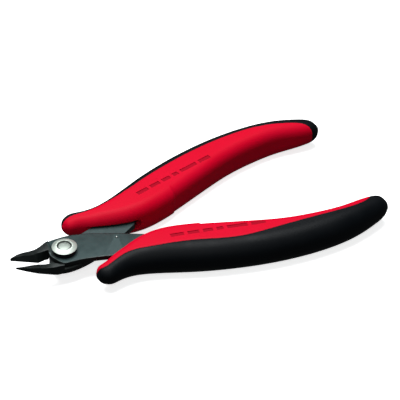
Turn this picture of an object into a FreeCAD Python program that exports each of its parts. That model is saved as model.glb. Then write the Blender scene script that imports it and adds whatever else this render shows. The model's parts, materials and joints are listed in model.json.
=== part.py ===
import FreeCAD, Part
import math
import os
import Sketcher
from FreeCAD import Placement, Rotation, Vector

# Flush cut pliers, in millimetres.
#
# Each lever is drawn closed, about the pivot axis (X = Y = 0), with +X towards the handles and Z = 0
# at half the handles' height. Its pieces are then turned open about the pivot, and the whole tool
# is moved so that the origin is at the middle of its box, on the surface that it lies on.
#
# The lower lever has its jaw at -Y and its handle at +Y (the far handle). The upper lever is its
# mirror image, one plate higher, with its jaw at +Y and its handle at -Y (the near handle).

FAR = 1
NEAR = -1

SIZES = {
    # motion
    "opening_half_angle": 6.8,      # each lever's turn from closed to open, degrees
    # steel plates
    "plate_thick": 2.1,
    "through": 8.4,                 # depth of the cuts that go right through both plates
    "lap_level": 0.6,               # height of the face where the two plates slide on each other
    "lap_gap": 0.06,                # play between the plates
    "lap_radius": 7.5,              # round recess that each jaw leaves for the other plate
    "edge_gap": 0.04,               # each cutting edge stops this far from the middle plane
    # pivot
    "pin_radius": 2.5,
    "pin_play": 0.05,
    "head_height": 0.8,
    "collar_height": 1.75,
    "collar_step": 0.2,             # the collar stands in from the cap by this much
    "recess_play": 0.1,             # gap between the pin's end and the cap's bore
    "crown_width": 0.45,            # flat ring round the cap's bore
    "cone_width": 1.5,              # sloping ring outside it
    "recess_depth": 0.7,
    "pin_dome": 0.45,
    "pin_dome_width": 0.75,         # sloping ring round the flat end of the pin
    "cap_edge": 0.24,               # upright edge below the cap's cone
    "bottom_head_height": 1.5,
    "bottom_head_play": 0.08,
    # jaws
    "jaw_root_x": 5.0,
    "jaw_bend_x": 9.0,
    "jaw_mid_x": 14.0,
    "jaw_tip_x": 20.0,
    "jaw_rise": 21.0,               # angle of the head above the plates, degrees
    "jaw_rise_x": 6.4,              # where the underside starts to rise
    "jaw_root_width": 6.6,
    "jaw_bend_width": 5.1,
    "jaw_mid_width": 3.2,
    "jaw_tip_width": 0.8,
    "jaw_lean": 0.5,                # the outer wall leans out by this much at the underside
    "jaw_end_lean": 0.0,
    "jaw_root_thick": 4.2,
    "jaw_bend_thick": 2.9,
    "jaw_mid_thick": 2.1,
    "jaw_tip_thick": 0.95,
    "bevel_width": 1.3,
    "bevel_tip_width": 0.3,
    "throat_radius": 1.2,
    "throat_x": 7.2,
    "throat_start_x": 10.8,         # where the cutting edges end and the throat begins
    # return spring
    "wire_radius": 0.4,
    "wire_step": 0.02,              # the straight legs are this much thinner than the coil
    "coil_radius": 4.2,
    "spring_play": 0.12,
    "spring_leg_x": 19.9,
    "spring_leg_y": 1.0,
    # handles
    "handle_front": 7.6,
    "handle_length": 113.3,
    "handle_height": 13.2,
    "handle_flat": 0.06,            # depth of the flats on the handles' top and underside
    "outer_round": 6.2,
    "inner_round": 4.2,
    "outer_share_tall": 0.93,       # most of the half height that a corner may take
    "inner_share_tall": 0.90,
    "outer_share_wide": 0.56,       # most of the width that a corner may take
    "inner_share_wide": 0.40,
    "slot_end_x": 33.5,
    "slot_start_x": 9.5,
    "slot_margin": 1.3,             # room above and below the steel arm
    "slot_floor_y": 8.6,
    "tang_play": 0.05,
    "grip_wall": 3.0,
    "spine_height": 7.6,
    "spine_front": 20.0,
    "spine_rear": 106.0,
}

# Handle sections: share of the handle's length, inner and outer face from the tool's middle
# plane when closed, and half height as a share of half the handle's height.
HANDLE_SECTIONS = (
    ("nose", 0.000, 12.9, 15.3, 0.18),
    ("nose_shoulder", 0.012, 11.1, 17.1, 0.45),
    ("nose_ball", 0.033, 10.2, 18.0, 0.58),
    ("nose_neck", 0.063, 8.2, 17.2, 0.67),
    ("finger_stop", 0.103, 5.9, 15.9, 0.78),
    ("thumb_rise", 0.164, 3.0, 16.1, 0.91),
    ("thumb", 0.2335, 1.5, 18.0, 0.985),
    ("front_bow", 0.3215, 2.3, 20.95, 1.0),
    ("palm_front", 0.4265, 5.2, 23.6, 1.0),
    ("palm", 0.531, 8.4, 25.3, 1.0),
    ("palm_rear", 0.636, 11.1, 25.95, 1.0),
    ("waist", 0.741, 12.2, 25.3, 1.0),
    ("tail", 0.846, 11.6, 23.1, 0.955),
    ("tail_round", 0.899, 10.1, 21.1, 0.87),
    ("butt", 0.945, 9.0, 18.8, 0.76),
    ("butt_round", 0.982, 9.2, 16.5, 0.56),
    ("butt_end", 1.000, 10.7, 14.6, 0.27),
)

# The line on each handle where the red core meets the black grip, as (X, Y) points.
GRIP_LINE = {
    FAR: ((5.0, 14.4), (9.0, 14.8), (12.0, 14.6), (15.5, 13.6), (21.0, 12.9), (30.0, 13.2), (45.0, 16.4),
          (67.0, 20.1), (88.0, 20.5), (101.0, 18.2), (109.0, 15.3), (114.0, 12.6), (116.3, 9.5),
          (116.8, 6.0)),
    NEAR: ((5.0, 12.4), (9.2, 12.2), (14.4, 11.5), (20.5, 10.9), (27.8, 11.7), (45.0, 14.5), (59.0, 17.8),
           (75.0, 17.6), (94.6, 16.6), (108.0, 14.8), (113.0, 12.2), (116.0, 6.0)),
}
GRIP_BEYOND = 40.0              # the outline that parts core and grip closes this far outside

# Plate outline of one lever, walked round from the jaw side of its head to its tang.
PLATE_JAW_SIDE = ((-5.1, -6.25), (-4.2, -6.85), (-1.2, -7.3), (1.8, -7.35), (3.85, -7.1))
PLATE_INNER_EDGE = ((9.95, -6.5), (23.6, -1.7), (29.0, 0.6))
TANG_OUTLINE = ((34.0, 5.0), (45.0, 8.0), (60.0, 11.9), (76.0, 15.4), (76.0, 18.6), (60.0, 16.2),
                (45.0, 12.9), (30.0, 10.4))
PLATE_OUTER_EDGE = ((14.2, 7.9), (8.5, 6.85), (4.45, 6.42), (-0.9, 6.5))
PLATE_SHOULDER = ((-2.2, 6.5), (-3.3, 5.5), (-5.0, 2.6), (-6.2, -0.5))

doc = FreeCAD.newDocument("FlushCutPliers")
sheet = doc.addObject("Spreadsheet::Sheet", "Sizes")


def fill_sheet():
    """Write every driving dimension into the sheet, one row each, with its alias."""
    rows = dict(SIZES)
    for name, share, inner, outer, height_share in HANDLE_SECTIONS:
        rows[name + "_share"] = share
        rows[name + "_inner"] = inner
        rows[name + "_outer"] = outer
        rows[name + "_tall"] = height_share
    for row, (alias, value) in enumerate(rows.items(), start=1):
        sheet.set(f"A{row}", alias)
        sheet.set(f"B{row}", str(value))
        sheet.setAlias(f"B{row}", alias)
    doc.recompute()


def size(alias):
    """Return one driving dimension from the sheet."""
    return float(sheet.get(alias))


def bind(target, prop, expression):
    """Bind a property to a formula of sheet aliases, each written as @alias."""
    target.setExpression(prop, expression.replace("@", "Sizes."))


def plane(body, role):
    """Return one of a body's own origin planes."""
    return next(item for item in body.Origin.OriginFeatures if item.Role == role)


def new_body(label):
    """Make an empty PartDesign body."""
    body = doc.addObject("PartDesign::Body", label)
    body.Label = label
    return body


def new_sketch(body, name, role="XY_Plane", level=None):
    """Make a sketch on a body's origin plane, at a height given by a formula."""
    sketch = body.newObject("Sketcher::SketchObject", name)
    sketch.AttachmentSupport = [(plane(body, role), "")]
    sketch.MapMode = "FlatFace"
    if level is not None:
        bind(sketch, "AttachmentOffset.Base.z", level)
    return sketch


def add_loop(sketch, edges):
    """Add edges end to end, closed, with their corners joined."""
    first = sketch.GeometryCount
    for edge in edges:
        sketch.addGeometry(edge, False)
    count = len(edges)
    for index in range(count):
        here = first + index
        following = first + (index + 1) % count
        sketch.addConstraint(Sketcher.Constraint("Coincident", here, 2, following, 1))


def polyline(points):
    """Return straight edges from point to point, not closed."""
    ends = [Vector(x, y, 0) for x, y in points]
    return [Part.LineSegment(a, b) for a, b in zip(ends, ends[1:])]


def smooth(points):
    """Return one smooth curve through the points."""
    curve = Part.BSplineCurve()
    curve.interpolate([Vector(x, y, 0) for x, y in points])
    return curve


def circle_sketch(body, name, radius, level, x="0 mm", y="0 mm"):
    """Sketch one circle whose radius and centre are bound to the sheet."""
    sketch = new_sketch(body, name, level=level)
    sketch.addGeometry(Part.Circle(Vector(0, 0, 0), Vector(0, 0, 1), 1.0), False)
    radius_at = sketch.addConstraint(Sketcher.Constraint("Radius", 0, 1.0))
    x_at = sketch.addConstraint(Sketcher.Constraint("DistanceX", -1, 1, 0, 3, 0.0))
    y_at = sketch.addConstraint(Sketcher.Constraint("DistanceY", -1, 1, 0, 3, 0.0))
    bind(sketch, f"Constraints[{radius_at}]", radius)
    bind(sketch, f"Constraints[{x_at}]", x)
    bind(sketch, f"Constraints[{y_at}]", y)
    return sketch


def pad(body, sketch, name, length):
    """Pad a sketch upwards."""
    feature = body.newObject("PartDesign::Pad", name)
    feature.Profile = sketch
    bind(feature, "Length", length)
    body.Tip = feature
    return feature


def pocket(body, sketch, name, length):
    """Cut a sketch upwards through a body, and make sure that it removes material."""
    before = solid_volume(body)
    feature = body.newObject("PartDesign::Pocket", name)
    feature.Profile = sketch
    feature.Reversed = True
    bind(feature, "Length", length)
    body.Tip = feature
    if solid_volume(body) >= before:
        raise RuntimeError(name + " cuts nothing")
    return feature


def solid_volume(item):
    """Return an object's volume after bringing the document up to date."""
    doc.recompute()
    return item.Shape.Volume


def plate_edges(side):
    """Return the outline of one lever's plate, for the handle on the given side."""
    jaw = smooth([(x, y * side) for x, y in PLATE_JAW_SIDE])
    inner = polyline([(x, y * side) for x, y in (PLATE_JAW_SIDE[-1],) + PLATE_INNER_EDGE])
    tang = polyline([(x, y * side) for x, y in (PLATE_INNER_EDGE[-1],) + TANG_OUTLINE])
    outer = smooth([(x, y * side) for x, y in (TANG_OUTLINE[-1],) + PLATE_OUTER_EDGE])
    shoulder = polyline([(x, y * side) for x, y in (PLATE_OUTER_EDGE[-1],) + PLATE_SHOULDER])
    front = polyline([(x, y * side) for x, y in (PLATE_SHOULDER[-1], PLATE_JAW_SIDE[0])])
    return [jaw] + inner + tang + [outer] + shoulder + front


def throat_edges():
    """Return the throat's teardrop: a point where the cutting edges end, widening to a round end."""
    radius = size("throat_radius")
    centre = Vector(-size("throat_x"), 0, 0)
    point = Vector(-size("throat_start_x"), 0, 0)
    swing = math.acos(radius / (centre - point).Length)
    top = centre + Vector(-math.cos(swing), math.sin(swing), 0) * radius
    bottom = centre + Vector(-math.cos(swing), -math.sin(swing), 0) * radius
    back = centre + Vector(radius, 0, 0)
    return [Part.LineSegment(top, point), Part.LineSegment(point, bottom), Part.Arc(bottom, back, top)]


def jaw_section(body, side, station, bevel="@bevel_width", lean="@jaw_lean"):
    """Sketch a jaw's cross-section: flush underside, steep bevel to the cutting edge, outer wall."""
    name = f"{body.Label}_jaw_{station}"
    width = f"@jaw_{station}_width"
    sketch = body.newObject("Sketcher::SketchObject", name)
    sketch.AttachmentSupport = [(plane(body, "YZ_Plane"), "")]
    sketch.MapMode = "FlatFace"
    bind(sketch, "AttachmentOffset.Base.z", f"-@jaw_{station}_x")
    rise = f"max(0; @jaw_{station}_x - @jaw_rise_x) * tan(@jaw_rise * 1 deg)"
    bottom = f"@lap_level - @plate_thick + {rise}"
    top = f"{bottom} + @jaw_{station}_thick"
    corners = (("@edge_gap", bottom), (f"{width} + {lean}", bottom), (width, top), (bevel, top))
    start = [(0.1, 0.0), (3.0, 0.0), (3.0, 2.0), (1.0, 2.0)]
    add_loop(sketch, polyline([(-side * y, z) for y, z in start + start[:1]]))
    for corner, (across, height) in enumerate(corners):
        across_at = sketch.addConstraint(Sketcher.Constraint("DistanceX", -1, 1, corner, 1, -side * 1.0))
        bind(sketch, f"Constraints[{across_at}]", f"{-side} * ({across})")
        height_at = sketch.addConstraint(Sketcher.Constraint("DistanceY", -1, 1, corner, 1, 1.0))
        bind(sketch, f"Constraints[{height_at}]", height)
    return sketch


def build_blade(label, side):
    """Build one lever's steel: lapped plate with its tang, and the raised jaw."""
    body = new_body(label)
    below = side == FAR
    own_bottom = "@lap_level - @plate_thick" if below else "@lap_level + @lap_gap"
    outline = new_sketch(body, label + "_outline", level=own_bottom)
    add_loop(outline, plate_edges(side))
    pad(body, outline, label + "_plate", "@plate_thick")
    sections = [jaw_section(body, side, "root", lean="@jaw_end_lean"), jaw_section(body, side, "bend"),
                jaw_section(body, side, "mid"),
                jaw_section(body, side, "tip", "@bevel_tip_width", "@jaw_end_lean")]
    doc.recompute()
    jaw = body.newObject("PartDesign::AdditiveLoft", label + "_jaw")
    jaw.Profile = sections[0]
    jaw.Sections = sections[1:]
    jaw.Ruled = True
    body.Tip = jaw
    doc.recompute()
    other_bottom = "@lap_level" if below else "@lap_level + @lap_gap - @through"
    relief = circle_sketch(body, label + "_lap", "@lap_radius", other_bottom)
    pocket(body, relief, label + "_lap_relief", "@through")
    throat = new_sketch(body, label + "_throat", level="@lap_level - @through / 2")
    add_loop(throat, throat_edges())
    pocket(body, throat, label + "_throat_notch", "@through")
    hole_radius = "@pin_radius + @pin_play"
    hole = circle_sketch(body, label + "_hole", hole_radius, "@lap_level - @through / 2")
    pocket(body, hole, label + "_pivot_hole", "@through")
    doc.recompute()
    return body


def revolved(label, corners):
    """Turn a closed profile of (radius, height) formulas about the pivot axis."""
    body = new_body(label)
    sketch = body.newObject("Sketcher::SketchObject", label + "_profile")
    sketch.AttachmentSupport = [(plane(body, "XZ_Plane"), "")]
    sketch.MapMode = "FlatFace"
    values = [(evaluate(radius), evaluate(height)) for radius, height in corners]
    add_loop(sketch, polyline(values + values[:1]))
    for corner, formulas in enumerate(corners):
        for kind, value, formula in zip(("DistanceX", "DistanceY"), values[corner], formulas):
            index = sketch.addConstraint(Sketcher.Constraint(kind, -1, 1, corner, 1, value))
            bind(sketch, f"Constraints[{index}]", formula)
    turn = body.newObject("PartDesign::Revolution", label + "_turned")
    turn.Profile = sketch
    turn.ReferenceAxis = (sketch, ["V_Axis"])
    turn.Angle = 360.0
    body.Tip = turn
    doc.recompute()
    return body


def evaluate(formula):
    """Work out a formula of sheet aliases."""
    value = sheet.evalExpression(formula.replace("@", ""))
    return float(getattr(value, "Value", value))


def build_pivot():
    """Build the pin with its lower head, the dark collar and the bright conical cap."""
    plate_top = "(@lap_level + @lap_gap + @plate_thick)"
    rim = f"({plate_top} + @collar_height)"
    crown = f"({rim} + @head_height)"
    seat = "(@lap_level - @plate_thick - @bottom_head_play)"
    foot = f"({seat} - @bottom_head_height)"
    recess = "(@pin_radius + @recess_play)"
    crown_edge = f"({recess} + @crown_width)"
    head = f"({crown_edge} + @cone_width)"
    collar_edge = f"{head} - @collar_step"
    pin = revolved("pivot_pin", (
        ("0", foot), (crown_edge, foot), (head, f"{foot} + @head_height"), (head, seat),
        ("@pin_radius", seat), ("@pin_radius", f"{crown} - @recess_depth"),
        ("@pin_radius - @pin_dome_width", f"{crown} - @recess_depth + @pin_dome"),
        ("0", f"{crown} - @recess_depth + @pin_dome")))
    collar = revolved("pivot_collar", (
        ("@pin_radius + @pin_play", plate_top), (collar_edge, plate_top), (collar_edge, rim),
        ("@pin_radius + @pin_play", rim)))
    cap = revolved("pivot_cap", (
        (recess, rim), (head, rim), (head, f"{rim} + @cap_edge"), (crown_edge, crown),
        (recess, crown)))
    return [pin, collar, cap]


def leg_line(side):
    """Return where one spring leg leaves the coil and where it ends, in its lever's closed frame."""
    hole = Vector(size("spring_leg_x"), -side * size("spring_leg_y"), 0)
    reach = hole.Length
    bearing = math.atan2(hole.y, hole.x)
    swing = math.acos(size("coil_radius") / reach)
    angle = bearing - side * swing
    start = Vector(math.cos(angle), math.sin(angle), 0) * size("coil_radius")
    return start, hole


def rod(name, start, end):
    """Make a round wire between two points, with ball ends."""
    along = end - start
    wire = doc.addObject("Part::Cylinder", name)
    bind(wire, "Radius", "@wire_radius - @wire_step")
    wire.Height = along.Length
    wire.Placement = Placement(start, Rotation(Vector(0, 0, 1), along))
    ball = doc.addObject("Part::Sphere", name + "_end")
    bind(ball, "Radius", "@wire_radius")
    ball.Placement = Placement(end, Rotation())
    return [wire, ball]


def build_spring():
    """Build the return spring: one turn round the pin, with a leg hooked into each lever."""
    deep = size("wire_radius") + size("spring_play")
    low = Vector(0, 0, size("lap_level") - deep)
    high = Vector(0, 0, size("lap_level") + size("lap_gap") + deep)
    coil = doc.addObject("Part::Torus", "spring_coil")
    bind(coil, "Radius1", "@coil_radius")
    bind(coil, "Radius2", "@wire_radius")
    coil.Placement = Placement(low, Rotation())
    pieces = [coil]
    plate = size("plate_thick")
    for side, level, outside, name in ((FAR, low, -1, "lower"), (NEAR, high, 1, "upper")):
        turn = Rotation(Vector(0, 0, 1), side * size("opening_half_angle"))
        start, hole = (turn.multVec(point) for point in leg_line(side))
        face = Vector(0, 0, size("lap_level") + outside * (plate - size("spring_play")))
        pieces += rod("spring_leg_" + name, start + level, hole + level)
        pieces += rod("spring_peg_" + name, hole + level, hole + face)
        if level is high:
            pieces += rod("spring_riser", start + low, start + high)
    spring = doc.addObject("Part::MultiFuse", "return_spring")
    spring.Shapes = pieces
    spring.Label = "return_spring"
    doc.recompute()
    return spring


def cut_spring_seat(body, side):
    """Cut the coil's ring groove, the leg's channel and the peg's hole into a lever."""
    deep = "2 * (@wire_radius + @spring_play)"
    half = size("wire_radius") + size("spring_play")
    if side == FAR:
        level = f"@lap_level - {deep}"
        outside = "@coil_radius + @wire_radius + @spring_play"
        ring = circle_sketch(body, body.Label + "_ring", outside, level)
        ring.addGeometry(Part.Circle(Vector(0, 0, 0), Vector(0, 0, 1), 1.0), False)
        inner_at = ring.addConstraint(Sketcher.Constraint("Radius", 1, 1.0))
        ring.addConstraint(Sketcher.Constraint("Coincident", 1, 3, -1, 1))
        bind(ring, f"Constraints[{inner_at}]", "@coil_radius - @wire_radius - @spring_play")
        pocket(body, ring, body.Label + "_ring_groove", deep)
    else:
        level = "@lap_level + @lap_gap"
    start, hole = leg_line(side)
    along = (hole - start).normalize()
    across = Vector(-along.y, along.x, 0) * half
    tail = start - along * half
    corners = [tail + across, tail - across, hole - across, hole + across]
    channel = new_sketch(body, body.Label + "_channel", level=level)
    add_loop(channel, polyline([(p.x, p.y) for p in corners + corners[:1]]))
    pocket(body, channel, body.Label + "_leg_channel", deep)
    peg = circle_sketch(body, body.Label + "_peg", "@wire_radius + @spring_play",
                        "@lap_level - @through / 2", x="@spring_leg_x", y=f"{-side} * @spring_leg_y")
    pocket(body, peg, body.Label + "_peg_hole", "@through")
    doc.recompute()


def handle_section(name):
    """Sketch one cross-section of the far handle: a rectangle with its corners rounded."""
    sketch = doc.addObject("Sketcher::SketchObject", "section_" + name)
    sketch.Placement = Placement(Vector(0, 0, 0), Rotation(Vector(1, 1, 1), 120))
    bind(sketch, "Placement.Base.x", f"@handle_front + @{name}_share * @handle_length")
    tall = f"(@{name}_tall * @handle_height / 2)"
    wide = f"(@{name}_outer - @{name}_inner)"
    outer_round = f"min(@outer_share_tall * {tall}; @outer_round; @outer_share_wide * {wide})"
    inner_round = f"min(@inner_share_tall * {tall}; @inner_round; @inner_share_wide * {wide})"
    a, b, c = (evaluate(f"@{name}_inner"), evaluate(f"@{name}_outer"), evaluate(tall))
    r, q = evaluate(outer_round), evaluate(inner_round)
    right = math.pi / 2

    def line(x1, y1, x2, y2):
        """Return a straight edge."""
        return Part.LineSegment(Vector(x1, y1, 0), Vector(x2, y2, 0))

    def corner(x, y, radius, quarter):
        """Return a quarter arc."""
        circle = Part.Circle(Vector(x, y, 0), Vector(0, 0, 1), radius)
        return Part.ArcOfCircle(circle, quarter * right, (quarter + 1) * right)

    edges = [line(a + q, -c, b - r, -c), corner(b - r, r - c, r, 3), line(b, r - c, b, c - r),
             corner(b - r, c - r, r, 0), line(b - r, c, a + q, c), corner(a + q, c - q, q, 1),
             line(a, c - q, a, q - c), corner(a + q, q - c, q, 2)]
    sketch.addGeometry(edges, False)
    for index in range(8):
        sketch.addConstraint(Sketcher.Constraint("Tangent", index, 2, (index + 1) % 8, 1))
    for flat in (0, 4):
        sketch.addConstraint(Sketcher.Constraint("Horizontal", flat))
    sketch.addConstraint(Sketcher.Constraint("Equal", 1, 3))
    sketch.addConstraint(Sketcher.Constraint("Equal", 5, 7))
    for kind, at, value, formula in (
            ("DistanceX", 2, b, f"@{name}_outer"), ("DistanceX", 6, a, f"@{name}_inner"),
            ("DistanceY", 0, -c, f"-{tall}"), ("DistanceY", 4, c, tall)):
        index = sketch.addConstraint(Sketcher.Constraint(kind, -1, 1, at, 1, value))
        bind(sketch, f"Constraints[{index}]", formula)
    for arc, value, formula in ((1, r, outer_round), (5, q, inner_round)):
        index = sketch.addConstraint(Sketcher.Constraint("Radius", arc, value))
        bind(sketch, f"Constraints[{index}]", formula)
    return sketch


def region(name, edges, low, height):
    """Extrude a flat outline between two heights."""
    outline = doc.addObject("Sketcher::SketchObject", name + "_outline")
    add_loop(outline, edges)
    bind(outline, "Placement.Base.z", low)
    solid = doc.addObject("Part::Extrusion", name)
    solid.Base = outline
    solid.DirMode = "Custom"
    solid.Dir = Vector(0, 0, 1)
    bind(solid, "LengthFwd", height)
    solid.Solid = True
    return solid


def joined(kind, name, first, second):
    """Cut, fuse or intersect two solids."""
    result = doc.addObject(kind, name)
    result.Base = first
    result.Tool = second
    result.Label = name
    return result


def slot_tool(name, side):
    """Make the round-ended slot in a handle's inner wall that the steel arm lies in."""
    floor = "@lap_level - @plate_thick" if side == FAR else "@lap_level + @lap_gap"
    low = f"({floor} - @slot_margin)"
    half = "(@plate_thick / 2 + @slot_margin)"
    box = doc.addObject("Part::Box", name + "_run")
    bind(box, "Length", f"@slot_end_x - @slot_start_x - {half}")
    bind(box, "Width", "2 * @slot_floor_y")
    bind(box, "Height", f"2 * {half}")
    bind(box, "Placement.Base.x", "@slot_start_x")
    bind(box, "Placement.Base.y", "-@slot_floor_y")
    bind(box, "Placement.Base.z", low)
    end = doc.addObject("Part::Cylinder", name + "_end")
    bind(end, "Radius", half)
    bind(end, "Height", "2 * @slot_floor_y")
    end.Placement = Placement(Vector(0, 0, 0), Rotation(Vector(1, 0, 0), -90))
    bind(end, "Placement.Base.x", f"@slot_end_x - {half}")
    bind(end, "Placement.Base.y", "-@slot_floor_y")
    bind(end, "Placement.Base.z", f"{low} + {half}")
    return joined("Part::Fuse", name, box, end)


def build_handle(side, whole):
    """Split one handle into its hard core and its soft grip, and cut the core for the steel."""
    word = "far" if side == FAR else "near"
    outside = [(size("handle_front") + size("handle_length") + GRIP_BEYOND, GRIP_LINE[side][-1][1]),
               (size("handle_front") + size("handle_length") + GRIP_BEYOND, GRIP_BEYOND),
               (-GRIP_BEYOND, GRIP_BEYOND), (-GRIP_BEYOND, GRIP_LINE[side][0][1])]
    rim = [GRIP_LINE[side][-1]] + outside + [GRIP_LINE[side][0]]
    edges = [smooth([(x, y * side) for x, y in GRIP_LINE[side]])]
    edges += polyline([(x, y * side) for x, y in rim])
    outer = region(word + "_grip_region", edges, "-@handle_height", "2 * @handle_height")
    spine_line = []
    for name in [section[0] for section in HANDLE_SECTIONS]:
        x = size("handle_front") + size(name + "_share") * size("handle_length")
        if size("spine_front") < x < size("spine_rear"):
            spine_line.append((x, side * (size(name + "_outer") - size("grip_wall"))))
    back = [(x, side * (abs(y) - 2 * size("grip_wall"))) for x, y in (spine_line[-1], spine_line[0])]
    spine_edges = [smooth(spine_line)] + polyline([spine_line[-1]] + back + [spine_line[0]])
    spine = region(word + "_spine", spine_edges, "-@spine_height / 2", "@spine_height")
    shell = joined("Part::Common", word + "_outer_half", whole, outer)
    grip = joined("Part::Cut", word + "_grip", shell, spine)
    inner = joined("Part::Cut", word + "_inner_half", whole, outer)
    core = joined("Part::Fuse", word + "_core_block", inner, spine)
    below = "@lap_level - @plate_thick" if side == FAR else "@lap_level + @lap_gap"
    tang = region(word + "_tang_space", plate_edges(side), below + " - @tang_play",
                  "@plate_thick + 2 * @tang_play")
    seated = joined("Part::Cut", word + "_core_seat", core, tang)
    slotted = joined("Part::Cut", word + "_core", seated, slot_tool(word + "_slot", side))
    doc.recompute()
    return slotted, grip


def build_handles():
    """Loft the far handle through its sections, mirror it for the near one, and split both."""
    round_handle = doc.addObject("Part::Loft", "round_handle")
    round_handle.Sections = [handle_section(entry[0]) for entry in HANDLE_SECTIONS]
    round_handle.Solid = True
    round_handle.Ruled = False
    flats = doc.addObject("Part::Box", "handle_flats")
    bind(flats, "Length", "2 * (@handle_front + @handle_length)")
    bind(flats, "Width", "@handle_front + @handle_length")
    bind(flats, "Height", "@handle_height - 2 * @handle_flat")
    bind(flats, "Placement.Base.z", "@handle_flat - @handle_height / 2")
    far_whole = joined("Part::Common", "far_whole", round_handle, flats)
    near_whole = doc.addObject("Part::Mirroring", "near_whole")
    near_whole.Source = far_whole
    near_whole.Normal = Vector(0, 1, 0)
    doc.recompute()
    return build_handle(NEAR, near_whole), build_handle(FAR, far_whole)


def check_document():
    """Stop if any object failed, or any piece is missing, invalid or more than one solid."""
    for item in doc.Objects:
        if "Invalid" in item.State or "Error" in item.State:
            raise RuntimeError(f"{item.Name} failed: {item.State}")
    for item in upper_pieces + lower_pieces + still_pieces:
        if item.Shape.isNull() or not item.Shape.isValid():
            raise RuntimeError(item.Label + " has no valid shape")
        if len(item.Shape.Solids) != 1:
            raise RuntimeError(f"{item.Label} is {len(item.Shape.Solids)} solids")


def place_pieces():
    """Turn each lever open about the pivot, and put the origin under the middle of the tool."""
    turn = size("opening_half_angle")
    for pieces, angle in ((upper_pieces, -turn), (lower_pieces, turn)):
        for item in pieces:
            item.Placement = Placement(Vector(0, 0, 0), Rotation(Vector(0, 0, 1), angle))
    doc.recompute()
    everything = upper_pieces + lower_pieces + still_pieces
    box = FreeCAD.BoundBox()
    for item in everything:
        box.add(item.Shape.optimalBoundingBox(False))
    shift = Vector(-box.Center.x, -box.Center.y, -box.ZMin)
    for item in everything:
        item.Placement = Placement(shift, item.Placement.Rotation)
    doc.recompute()
    print("pivot axis at", [round(value, 4) for value in shift], "box", box)


fill_sheet()
upper = build_blade("upper_blade", NEAR)
lower = build_blade("lower_blade", FAR)
cut_spring_seat(upper, NEAR)
cut_spring_seat(lower, FAR)
(near_core, near_grip), (far_core, far_grip) = build_handles()
near_core.Label, near_grip.Label = "near_handle_core", "near_handle_grip"
far_core.Label, far_grip.Label = "far_handle_core", "far_handle_grip"
upper_pieces = [upper, near_core, near_grip] + build_pivot()
lower_pieces = [lower, far_core, far_grip]
still_pieces = [build_spring()]
doc.recompute()
check_document()
place_pieces()
check_document()
os.makedirs("parts", exist_ok=True)
for piece in upper_pieces + lower_pieces + still_pieces:
    piece.Shape.exportStep(f"parts/{piece.Label}.step")
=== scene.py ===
"""Looks of the flush cut pliers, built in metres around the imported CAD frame.

Shapes are drawn in millimetres for the far lever in its closed position: X runs from the pivot
towards the handles, Y towards the handle's outer side, and Z is zero at half the handles' height.
The near lever is the mirror image. Each lever is then turned open about the pivot.
"""
import json
import logging
import math
from abc import ABC, abstractmethod
from dataclasses import dataclass, replace
from enum import Enum, IntEnum

import bmesh
import bpy
import numpy as np
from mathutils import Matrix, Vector


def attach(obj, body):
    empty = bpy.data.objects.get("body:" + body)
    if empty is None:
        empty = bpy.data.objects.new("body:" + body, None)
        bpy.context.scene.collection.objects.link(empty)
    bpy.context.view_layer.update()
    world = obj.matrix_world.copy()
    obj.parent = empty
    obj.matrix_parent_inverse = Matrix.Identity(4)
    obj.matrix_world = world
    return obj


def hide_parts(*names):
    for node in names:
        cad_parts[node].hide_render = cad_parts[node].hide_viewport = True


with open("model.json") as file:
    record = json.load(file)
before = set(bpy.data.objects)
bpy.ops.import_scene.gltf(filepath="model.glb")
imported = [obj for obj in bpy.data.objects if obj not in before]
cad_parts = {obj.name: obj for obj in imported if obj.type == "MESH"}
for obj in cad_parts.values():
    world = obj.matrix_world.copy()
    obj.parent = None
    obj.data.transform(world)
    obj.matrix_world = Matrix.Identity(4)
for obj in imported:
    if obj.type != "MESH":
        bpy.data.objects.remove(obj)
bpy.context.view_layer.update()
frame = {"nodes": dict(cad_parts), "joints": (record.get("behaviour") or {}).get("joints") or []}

LOG = logging.getLogger("pliers")
MM = 0.001
JOINT = frame["joints"][0]
PIVOT = Vector(JOINT["pos_m"])
HALF_OPEN = math.radians(JOINT["range_deg"][1] - JOINT["range_deg"][0]) / 2
SHARP_DEGREES = 35.0            # edges that turn by more than this stay crisp, unless a piece says
WAVE_RADIANS = 20               # a wave texture's phase in radians, for each unit of its scale
TINY = 1e-9                     # keeps a division by a length away from zero


class Lever(Enum):
    """The two levers, each by the side of the tool that its handle lies on."""

    NEAR = -1
    FAR = 1

    @property
    def word(self) -> str:
        """The lever's name in lower case."""
        return self.name.lower()

    @property
    def body(self) -> str:
        """The CAD body that this lever's pieces ride on."""
        return self.word + "_lever"

    def placed(self, points: np.ndarray) -> np.ndarray:
        """Turn drawn millimetres into the open tool's metres.

        Y is multiplied by the lever's side, then X and Y are turned by half the opening angle
        about the pivot, then the pivot's place is added.

        Args:
            points: drawn places, one row each.

        Returns:
            The places in the frame, in metres.
        """
        x, y, z = points[:, 0], points[:, 1] * self.value, points[:, 2]
        cosine, sine = math.cos(HALF_OPEN), math.sin(HALF_OPEN) * self.value
        turned = np.column_stack((x * cosine - y * sine, x * sine + y * cosine, z))
        return turned * MM + np.array(PIVOT)


class Plate(Enum):
    """The two lapped steel plates: the lever, and the height of the plate's underside."""

    LOWER = (Lever.FAR, -1.5)
    UPPER = (Lever.NEAR, 0.66)

    @property
    def lever(self) -> Lever:
        """The lever that this plate belongs to."""
        return self.value[0]

    @property
    def floor(self) -> float:
        """The height of the plate's underside in millimetres."""
        return self.value[1]


# ---------------------------------------------------------------- curves and meshes


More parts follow.
